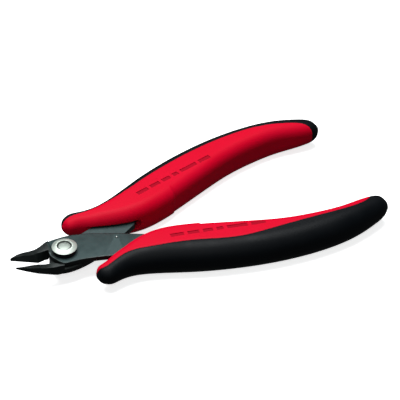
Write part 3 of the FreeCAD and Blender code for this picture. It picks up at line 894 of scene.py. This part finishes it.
@dataclass
class Blade:
    """One lever's steel: the flat lapped plate with its arm, and the raised jaw.

    The pin's bore and the spring's groove are out of sight and are left out.
    """

    plate: Plate
    thick: float = 2.1
    chamfer: float = 0.16
    back_chamfer: float = 0.42      # of the upper plate's edge on the jaw's side, whose dark steel is painted shade
    lap_top: float = 0.6            # height of the face where the plates slide on each other
    lap_gap: float = 0.06
    peg_x: float = 19.9
    peg_y: float = 1.0
    peg_radius: float = 0.52
    rise_from: float = 6.4
    rise_degrees: float = 21.0
    edge_gap: float = 0.04
    throat_start: float = 10.0      # where the cutting edges end and the throat begins
    throat_end: float = 6.5
    throat_wide: float = 2.3        # from the middle plane, at its end
    fillet: float = 0.14
    fillet_points: int = 5
    side_points: tuple = (70, 60)   # along the jaw's side and the outer side
    drum_points: int = 96
    jaw_rows: int = 90
    jaw_passes: int = 8             # times that the jaw's sizes are averaged with their neighbours
    jaw_lift: float = 0.01          # from the plate's underside to the jaw's
    swell_full: float = 6.0         # the root's extra width is full here and ends at the next
    swell_end: float = 10.0
    bevel_least: float = 0.3
    top_least: float = 0.12         # least width of the jaw's top
    recess_flare: float = 0.4       # how much wider the lower jaw's recess is at its top
    recess_past: tuple = (0.1, 0.5)  # how far the recess passes the steel below and above
    peg_past: float = 1.0
    plate_sharp: float = 28.0
    jaw_sharp: float = 24.0
    arm: tuple = ((34.0, 5.0), (38.0, 6.0), (38.0, 11.0), (30.0, 10.4))
    outer_side: tuple = ((30.0, 10.4), (22.0, 9.35), (14.2, 7.9), (8.5, 6.85), (4.45, 6.42),
                         (-0.9, 6.5))
    jaw: tuple = (                  # distance ahead of the pivot, width, thickness, bevel, lean
        (4.0, 7.0, 4.25, 2.6, -0.8), (5.2, 6.6, 4.25, 2.6, -0.5), (6.4, 6.0, 4.1, 2.7, -0.3),
        (7.75, 5.45, 3.4, 2.7, 0.1), (9.5, 4.7, 2.85, 2.3, 0.45), (12.0, 3.85, 2.4, 1.35, 0.6),
        (14.5, 3.15, 2.1, 1.25, 0.35), (16.8, 2.3, 1.7, 1.1, 0.1), (18.4, 1.4, 1.3, 0.8, 0.0),
        (19.95, 0.4, 0.9, 0.3, 0.0))

    @property
    def word(self) -> str:
        """The plate's name in lower case."""
        return self.plate.name.lower()

    @property
    def face(self) -> Finish:
        """The finish of the plate's flat faces."""
        return PLATE_STEEL if self.plate is Plate.UPPER else LOWER_STEEL

    def outline(self) -> np.ndarray:
        """Return the plate's outline: smooth sides, a straight front and the end of its arm."""
        head = HEADS[self.plate]
        jaw_points, outer_points = self.side_points
        return np.vstack((curve_through(head.jaw_side, jaw_points), np.array(self.arm)[:-1],
                          curve_through(self.outer_side, outer_points), np.array(head.shoulder)))

    def plate_piece(self) -> bpy.types.Object:
        """Build the plate: its outline at four heights, the outer two drawn in by the chamfer.

        The upper plate's outer top edge is painted pale as a highlight, and its other top edges
        dark as shade.

        Returns:
            The closed plate.
        """
        outline = self.outline()
        ahead = np.roll(outline, -1, axis=0) - np.roll(outline, 1, axis=0)
        normal = np.column_stack((ahead[:, 1], -ahead[:, 0]))
        normal /= np.linalg.norm(normal, axis=1, keepdims=True)
        low, high = self.plate.floor, self.plate.floor + self.thick
        # Only the upper plate's outer top chamfer is painted pale as a highlight; its others are
        # wider and painted dark as shade.
        highlit = normal[:, [1]] > 0
        wide = np.where(highlit | (self.plate is Plate.LOWER), self.chamfer, self.back_chamfer)
        rings = [np.column_stack((outline - normal * inset, np.full(len(outline), height)))
                 for inset, height in ((self.chamfer, low), (0, low + self.chamfer),
                                       (0, high - self.chamfer), (wide, high))]
        count = len(outline)
        piece = new_piece(self.word + "_plate", self.plate.lever.placed(np.vstack(rings)),
                          tube_faces(len(rings), count), sharp_degrees=self.plate_sharp)
        dress(piece, self.face, HIGHLIGHT_EDGE_STEEL, SHADED_JAW_STEEL)
        index = np.zeros(len(piece.data.polygons), np.int32)
        # The plate's sides and chamfers take the dark steel, painted shade.
        index[:3 * count] = Skin.JAW
        if self.plate is Plate.UPPER:
            index[2 * count:3 * count] = np.where(highlit[:, 0], Skin.EDGE, Skin.JAW)
        piece.data.polygons.foreach_set("material_index", index)
        return piece

    def throat(self, ahead: np.ndarray) -> np.ndarray:
        """Return how far the jaw's inner side stands off the middle plane.

        It is the cutting edge's small gap, and behind the edge a rise to the throat's full width.

        Args:
            ahead: distance ahead of the pivot.

        Returns:
            The stand-off in millimetres.
        """
        share = np.clip((self.throat_start - ahead) / (self.throat_start - self.throat_end), 0, 1)
        return np.maximum(self.edge_gap, self.throat_wide * share)

    def jaw_piece(self) -> bpy.types.Object:
        """Build the jaw: a flush underside, a steep bevel down to the cutting edge, an outer wall.

        The ring at each distance has the corners (inner, bottom), (width + lean, bottom),
        (width, top) and (bevel, top). Three corners are rounded by a quadratic curve between
        points a fillet's length to each side; the cutting edge stays sharp. Width, thickness,
        bevel and lean run straight between stations and are then averaged with their neighbours.
        The underside rises at a steady angle from where the plate ends.

        Returns:
            The closed jaw.
        """
        table = np.array(self.jaw)
        ahead = np.linspace(table[0, 0], table[-1, 0], self.jaw_rows)
        sizes = np.column_stack([np.interp(ahead, table[:, 0], table[:, i]) for i in (1, 2, 3, 4)])
        for _ in range(self.jaw_passes):
            sizes[1:-1] = (sizes[:-2] + 2 * sizes[1:-1] + sizes[2:]) / 4
        width, thick, bevel, lean = sizes.T
        near_root = (self.swell_end - ahead) / (self.swell_end - self.swell_full)
        width = width + HEADS[self.plate].swell * np.clip(near_root, 0, 1)
        floor = self.lap_top - self.thick + self.jaw_lift
        rise = math.tan(math.radians(self.rise_degrees))
        bottom = floor + np.maximum(0, ahead - self.rise_from) * rise
        top = bottom + thick
        inner = self.throat(ahead)
        corners = [np.column_stack((inner, bottom)), np.column_stack((width + lean, bottom)),
                   np.column_stack((width, top)),
                   np.column_stack((np.maximum(bevel, inner + self.bevel_least), top))]
        corners[3][:, 0] = np.minimum(corners[3][:, 0], width - self.top_least)
        ring = [corners[0]]
        for index in (1, 2, 3):
            here, before, after = corners[index], corners[index - 1], corners[(index + 1) % 4]
            starts = here + self.limited(before - here)
            ends = here + self.limited(after - here)
            for share in np.linspace(0, 1, self.fillet_points):
                ring.append((1 - share) ** 2 * starts + 2 * share * (1 - share) * here
                            + share**2 * ends)
        section = np.stack(ring, axis=1)
        x = np.broadcast_to(-ahead[:, None], section.shape[:2])
        grid = np.stack((x, -section[..., 0], section[..., 1]), axis=-1)
        piece = new_piece(self.word + "_jaw", self.plate.lever.placed(grid.reshape(-1, 3)),
                          tube_faces(*grid.shape[:2]), sharp_degrees=self.jaw_sharp)
        dress(piece, self.face, HIGHLIGHT_EDGE_STEEL, SHADED_JAW_STEEL)
        # The whole jaw takes the dark steel, painted shade.
        index = np.full(len(piece.data.polygons), Skin.JAW, np.int32)
        piece.data.polygons.foreach_set("material_index", index)
        return piece

    def limited(self, way: np.ndarray) -> np.ndarray:
        """Shorten each vector to the fillet's length, or to a third of itself if that is less."""
        length = np.linalg.norm(way, axis=1, keepdims=True)
        return way / np.maximum(length, TINY) * np.minimum(self.fillet, length / 3)

    def drum(self, x: float, y: float, low: tuple, high: tuple) -> bpy.types.Object:
        """Make a closed round cutter: two circles joined.

        Args:
            x, y: its centre in the drawn frame.
            low, high: the height and the radius of each end.

        Returns:
            The closed solid.
        """
        turn = np.linspace(0, 2 * math.pi, self.drum_points, endpoint=False)
        rings = [np.column_stack((x + radius * np.cos(turn), y + radius * np.sin(turn),
                                  np.full(len(turn), height))) for height, radius in (low, high)]
        points = self.plate.lever.placed(np.vstack(rings))
        return new_piece("drum", points, tube_faces(2, len(turn)))

    def build(self) -> list:
        """Build the blade.

        Returns:
            The one piece.
        """
        jaw = self.jaw_piece()
        radius = HEADS[self.plate].recess
        below, above = self.recess_past
        if self.plate is Plate.LOWER:
            ends = ((self.lap_top, radius),
                    (self.lap_top + self.thick + above, radius + self.recess_flare))
        else:
            ends = ((self.lap_top - self.thick - below, radius),
                    (self.lap_top + self.lap_gap, radius))
        recess = self.drum(0, 0, *ends)
        cut_away(jaw, [recess], sharp_degrees=self.jaw_sharp)
        plate = self.plate_piece()
        peg = self.drum(self.peg_x, -self.peg_y,
                        (self.plate.floor - self.peg_past, self.peg_radius),
                        (self.plate.floor + self.thick + self.peg_past, self.peg_radius))
        cut_away(plate, [peg], sharp_degrees=self.plate_sharp)
        piece = joined([plate, jaw])
        piece.name = self.word + "_blade_steel"
        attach(piece, self.plate.lever.body)
        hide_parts(self.word + "_blade")
        return [piece]


# ---------------------------------------------------------------- pivot


@dataclass
class PivotJoint:
    """The pin riveted through both plates, its black collar and the bright conical cap."""

    segments: int = 192
    plate_top: float = 2.76
    collar_top: float = 4.51
    collar_radius: float = 4.35
    cap_radius: float = 4.55
    cap_edge: float = 0.24
    crown_radius: float = 3.05
    crown_top: float = 5.31
    recess_radius: float = 2.68
    pin_radius: float = 2.22
    pin_top: float = 4.86
    neck_top: float = 4.8
    dome: float = 0.3
    knurl: float = 0.055
    teeth: int = 34
    foot: float = -3.08
    foot_edge: float = -2.28
    seat: float = -1.58
    soft: float = 0.07              # width of the broken edges
    axis_gap: float = 0.02          # the pin's outline stops this short of the axis
    dome_turns: tuple = (0.25, 1.5)
    dome_points: int = 8
    sharp: float = 30.0

    def cap_profile(self) -> tuple:
        """Return the cap's outline: a low upright edge, a cone, a flat ring and the bore.

        Returns:
            (radius, height, knurled) corners in millimetres.
        """
        s = self.soft
        return ((self.recess_radius, self.collar_top, 1), (self.cap_radius - s, self.collar_top, 0),
                (self.cap_radius, self.collar_top + s, 0),
                (self.cap_radius, self.collar_top + self.cap_edge - s, 0),
                (self.cap_radius - s, self.collar_top + self.cap_edge, 0),
                (self.crown_radius + s, self.crown_top - s / 2, 0),
                (self.crown_radius, self.crown_top, 0),
                (self.recess_radius + s, self.crown_top, 0),
                (self.recess_radius, self.crown_top - s, 1))

    def collar_profile(self) -> tuple:
        """Return the collar's outline: a ring whose neck fills the gap round the pin's end.

        Returns:
            (radius, height, knurled) corners in millimetres.
        """
        r, low, high, s = self.collar_radius, self.plate_top, self.collar_top, self.soft
        return ((self.pin_radius, low, 0), (r - 2 * s, low, 0), (r, low + 2 * s, 0),
                (r, high - s, 0), (r - s, high, 0), (self.recess_radius, high, 0),
                (self.recess_radius, self.neck_top, 0), (self.pin_radius, self.neck_top, 0))

    def pin_profile(self) -> tuple:
        """Return the pin's outline: lower head, shank, and a domed upper end with a knurled rim.

        Returns:
            (radius, height, knurled) corners in millimetres.
        """
        s = self.soft
        dome = [(self.pin_radius * math.cos(turn), self.pin_top + self.dome * math.sin(turn), 0)
                for turn in np.linspace(*self.dome_turns, self.dome_points)]
        return ((self.axis_gap, self.foot, 0), (self.crown_radius - s, self.foot, 0),
                (self.crown_radius, self.foot + s / 2, 0),
                (self.cap_radius - s, self.foot_edge - s, 0),
                (self.cap_radius, self.foot_edge, 0), (self.cap_radius, self.seat - s, 0),
                (self.cap_radius - s, self.seat, 0), (self.pin_radius, self.seat, 0),
                (self.pin_radius, self.pin_top, 1), *dome,
                (self.axis_gap, self.pin_top + self.dome, 0))

    def build(self) -> list:
        """Build the pin, the collar and the cap.

        Returns:
            The three pieces.
        """
        made = []
        for name, node, profile, finish, slot in (
                ("pivot_cap_cone", "pivot_cap", self.cap_profile(), CAP_NICKEL, "pivot_nickel"),
                ("pivot_collar_ring", "pivot_collar", self.collar_profile(), COLLAR_BLACK,
                 "pivot_collar_black"),
                ("pivot_pin_rivet", "pivot_pin", self.pin_profile(), PIN_NICKEL, "pivot_nickel")):
            points, faces = lathed(profile, self.segments, self.knurl, self.teeth)
            piece = new_piece(name, points, faces, sharp_degrees=self.sharp)
            dress(piece, finish)
            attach(piece, Lever.NEAR.body)
            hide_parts(node)
            made.append(piece)
        return made


@dataclass
class ReturnSpring:
    """The CAD's return spring, with its own mesh.

    It rides whole on the near lever, so its lower leg stays behind when the far lever closes.
    """

    def build(self) -> list:
        """Dress the spring in drawn steel.

        Returns:
            The one piece.
        """
        spring = frame["nodes"]["return_spring"]
        spring.data.materials.clear()
        dress(spring, SPRING_WIRE)
        return [spring]


# ---------------------------------------------------------------- stage


@dataclass
class Studio:
    """A white sweep, one large soft light overhead, a weaker one in front, and the camera."""

    floor_size: float = 6.0
    lens_mm: float = 180.0
    sensor_mm: float = 36.0
    target: tuple = (0.05793, 0.00712, 0.0)         # from the pivot
    camera_from_target: tuple = (-0.2657, -0.5179, 0.4581)
    sky: tuple = (0.93, 0.96, 1.0, 1.0)
    sky_strength: float = 0.09
    lights: tuple = (               # name, place from the pivot, width, watts, colour
        ("overhead", (0.0, 0.25, 1.0), 0.8, 17.0, (0.97, 0.99, 1.0)),
        ("front", (-0.35, -0.75, 0.8), 0.5, 1.6, (1.0, 0.99, 0.98)))

    def build(self) -> None:
        """Set up the floor, the light and the camera."""
        half = self.floor_size / 2
        corners = np.array([(-half, -half, 0), (half, -half, 0), (half, half, 0), (-half, half, 0)])
        mesh = bpy.data.meshes.new("floor")
        mesh.from_pydata(corners, [], [(0, 1, 2, 3)])
        floor = in_scene("floor", mesh)
        dress(floor, PAPER)
        floor.visible_diffuse = False
        floor.visible_glossy = False
        world = bpy.data.worlds.new("studio")
        world.use_nodes = True
        world.node_tree.nodes["Background"].inputs["Color"].default_value = self.sky
        world.node_tree.nodes["Background"].inputs["Strength"].default_value = self.sky_strength
        scene = bpy.context.scene
        scene.world = world
        scene.view_settings.view_transform = "Standard"
        for name, place, width, watts, colour in self.lights:
            lamp = bpy.data.lights.new(name, "AREA")
            lamp.size = width
            lamp.energy = watts
            lamp.color = colour
            holder = in_scene(name, lamp)
            holder.location = PIVOT + Vector(place)
            holder.rotation_euler = (PIVOT - holder.location).to_track_quat("-Z", "Y").to_euler()
        camera = bpy.data.cameras.new("camera")
        camera.lens = self.lens_mm
        camera.sensor_width = self.sensor_mm
        holder = in_scene("camera", camera)
        target = PIVOT + Vector(self.target)
        holder.location = target + Vector(self.camera_from_target)
        holder.rotation_euler = (target - holder.location).to_track_quat("-Z", "Y").to_euler()
        scene.camera = holder


MATERIALS: dict = {}
NEAR_HANDLE_LENGTH = 112.6          # the near handle ends 0.7 mm sooner than the far one


def material_of(finish: Finish) -> bpy.types.Material:
    """Return a finish's material, made once.

    Args:
        finish: the finish.

    Returns:
        Its material.
    """
    if finish not in MATERIALS:
        MATERIALS[finish] = finish.build()
    return MATERIALS[finish]


def main() -> None:
    """Build everything in order."""
    logging.basicConfig(level=logging.INFO, format="%(message)s")
    Studio().build()
    assemblies = [Blade(Plate.LOWER), Blade(Plate.UPPER), PivotJoint(), ReturnSpring(),
                  Handle(Lever.FAR), Handle(Lever.NEAR, length=NEAR_HANDLE_LENGTH)]
    for assembly in assemblies:
        for piece in assembly.build():
            LOG.info("%s: %d faces", piece.name, len(piece.data.polygons))


if __name__ == "__main__":
    main()
